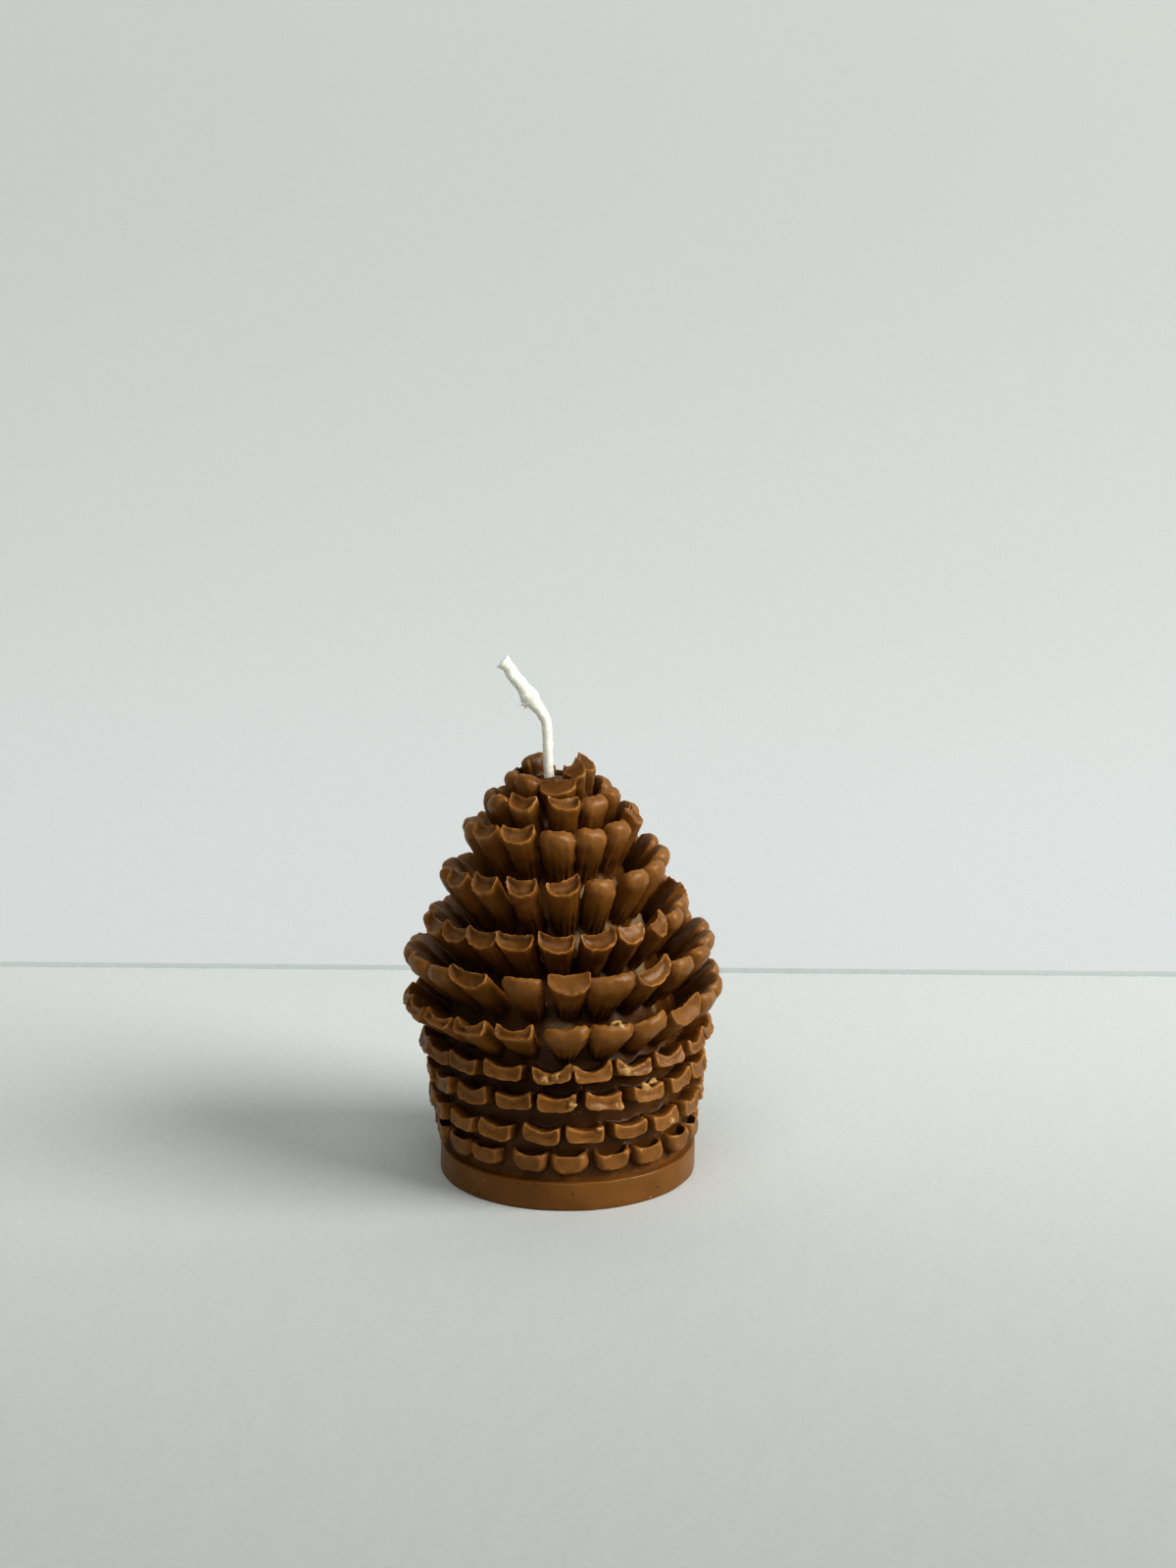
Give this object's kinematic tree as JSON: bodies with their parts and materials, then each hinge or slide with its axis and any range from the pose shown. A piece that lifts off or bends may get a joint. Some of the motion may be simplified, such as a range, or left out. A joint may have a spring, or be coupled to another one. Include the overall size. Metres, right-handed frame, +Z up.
{
  "type": "pine cone candle",
  "caption": "Small wax candle moulded as a pine cone with spiralling scales on a thin round plinth, with a bent cotton wick.",
  "frame": {"origin": "middle of the plinth's flat foot", "axes": "+Z up along the candle, +X to the right of the front as seen from it, -Y out of the front"},
  "size_m": [0.0563, 0.0563, 0.091],
  "materials": {
    "brown_wax": "semi-gloss cast wax",
    "waxed_cotton": "matt waxed cotton"
  },
  "bodies": {
    "root": {"wax_body": "brown_wax", "wick": "waxed_cotton"}
  },
  "joints": []
}
